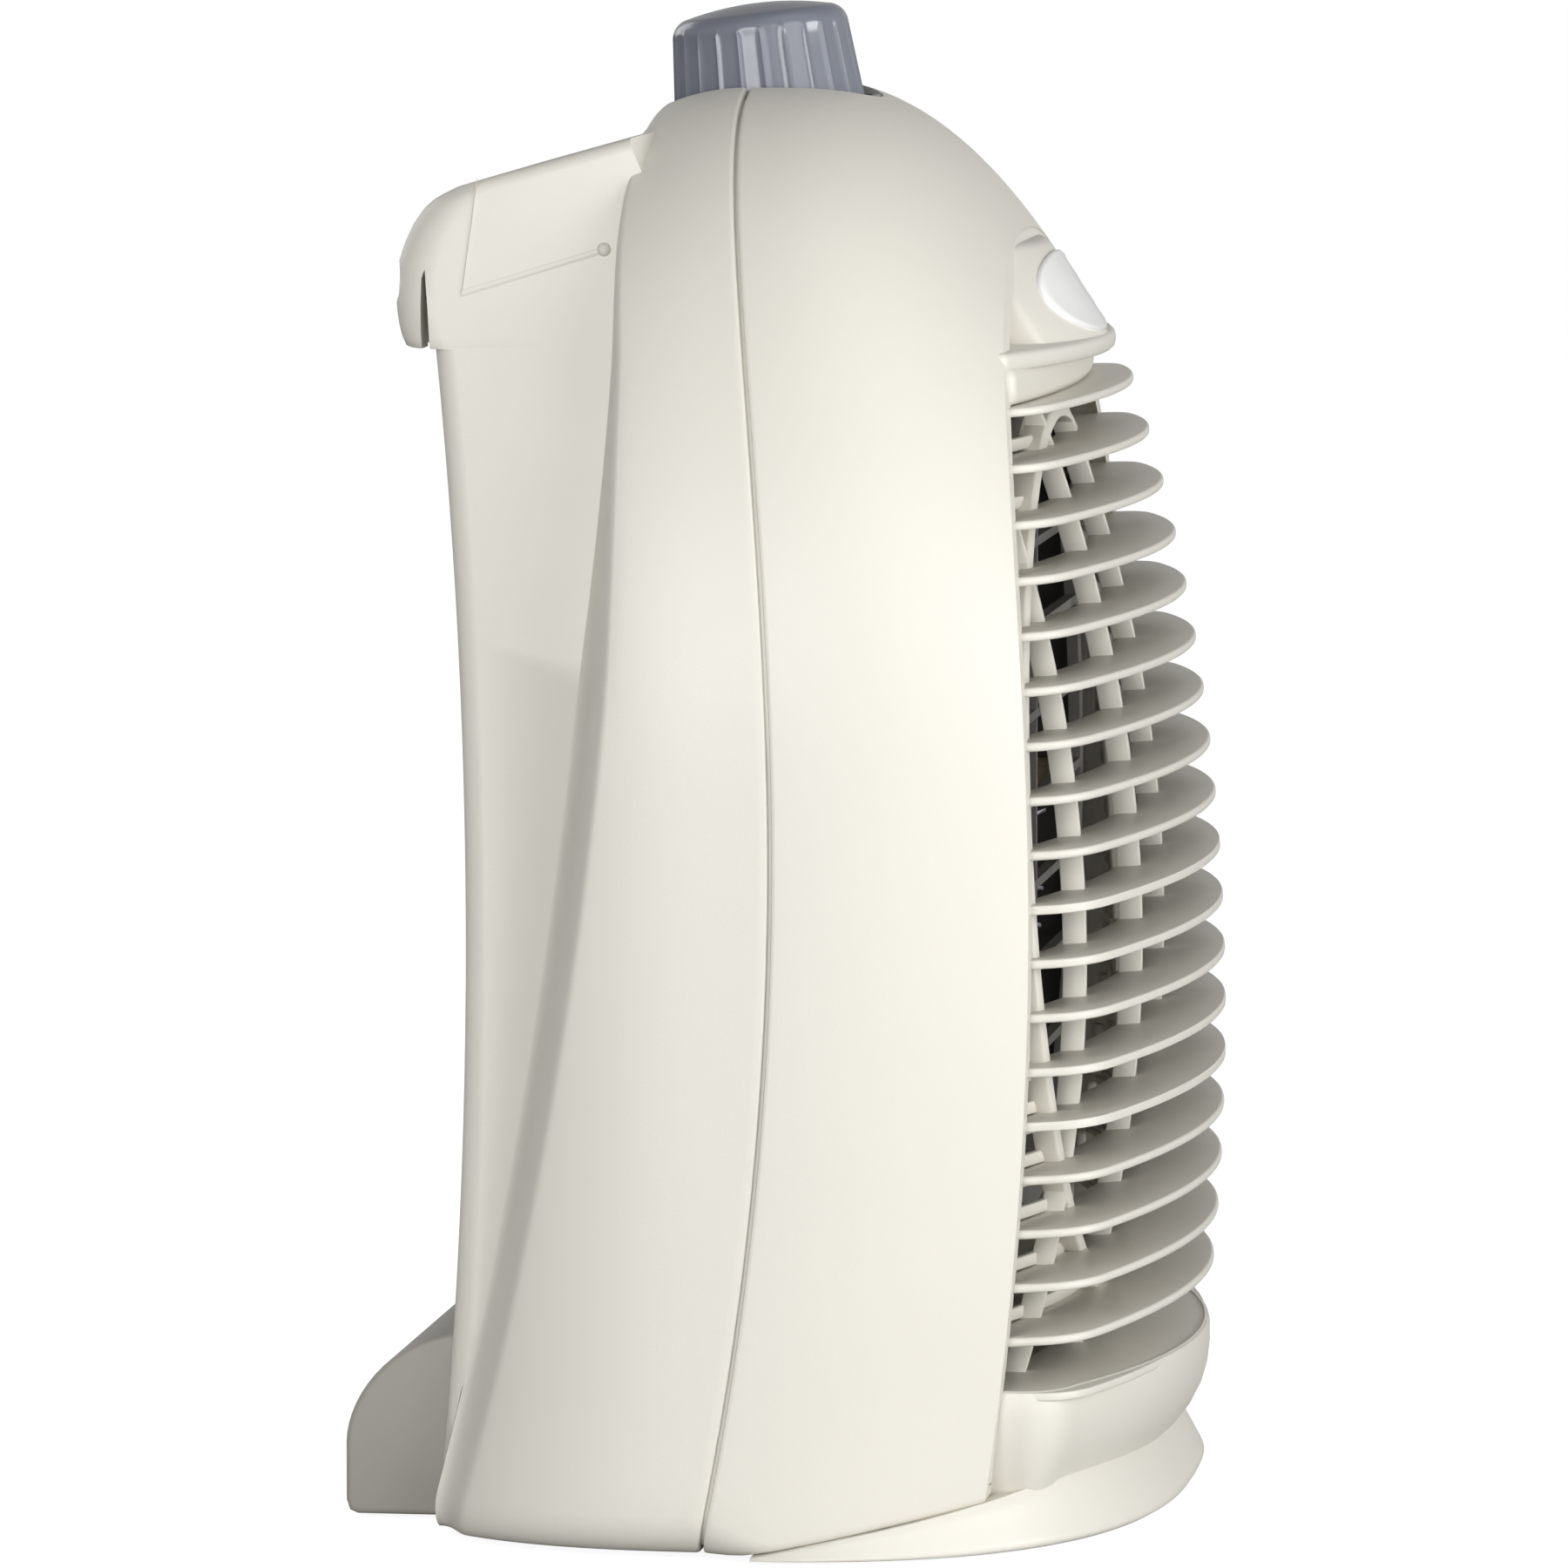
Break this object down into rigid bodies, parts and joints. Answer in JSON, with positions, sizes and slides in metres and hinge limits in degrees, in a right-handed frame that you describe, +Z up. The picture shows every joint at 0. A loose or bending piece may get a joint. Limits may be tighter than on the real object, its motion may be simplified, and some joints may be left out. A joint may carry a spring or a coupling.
{
  "type": "fan heater",
  "caption": "Upright portable fan heater: two moulded shells, bowed louvre in front, turning control on top, carry grip and stepped foot behind.",
  "frame": {"origin": "on the ground under the middle of the body's bounding box", "axes": "+X right seen from the front, -Y the front, +Z up"},
  "size_m": [0.192, 0.1448, 0.2595],
  "materials": {
    "case": "fine satin grain, warm cream",
    "badge": "glossy white, bare",
    "control": "glossy blue grey",
    "grille": "matt grey",
    "foot": "fine satin grain",
    "rubber": "matt",
    "dark_plastic": "matt black, heat proof",
    "white_plastic": "matt white, heat proof",
    "steel": "zinc plated",
    "core_steel": "stacked sheet",
    "bronze": "sintered",
    "winding": "varnished wire under tape",
    "mica": "pressed mica board",
    "heating_wire": "bright resistance wire"
  },
  "bodies": {
    "body": {"rear_shell": "case", "front_shell": "case", "front_louvre": "case", "inner_guard": "grille", "badge_plate": "badge", "rear_grille": "grille", "rear_foot": "foot", "base_plate": "case", "rubber_feet": "rubber", "dial_cup": "control", "rotary_switch": "white_plastic", "switch_nut": "steel", "motor_core": "core_steel", "motor_coil": "winding", "front_bearing_bracket": "steel", "rear_bearing_bracket": "steel", "front_bearing": "bronze", "rear_bearing": "bronze", "motor_screws": "steel", "fan_housing": "dark_plastic", "housing_screws": "steel", "heater_frame": "mica", "outer_heating_coil": "heating_wire", "inner_heating_coil": "heating_wire", "thermal_cutout": "dark_plastic", "thermal_fuse": "white_plastic", "terminal_block": "white_plastic", "inlet_bush": "dark_plastic", "case_screws": "steel", "base_screws": "steel"},
    "knob": {"control_knob": "control", "switch_spindle": "steel"},
    "rotor": {"fan_impeller": "white_plastic", "spinner_nut": "steel", "motor_shaft": "steel", "motor_rotor": "core_steel"}
  },
  "joints": [
    {"name": "knob_turn", "type": "hinge", "parent": "body", "child": "knob", "pos_m": [0, 0.00612, 0.2363], "axis": [0, 0.1219, 0.9925], "range_deg": [-270, 0]},
    {"name": "fan_spin", "type": "hinge", "parent": "body", "child": "rotor", "pos_m": [0, 0.00412, 0.12], "axis": [0, 1, 0], "continuous": true}
  ]
}
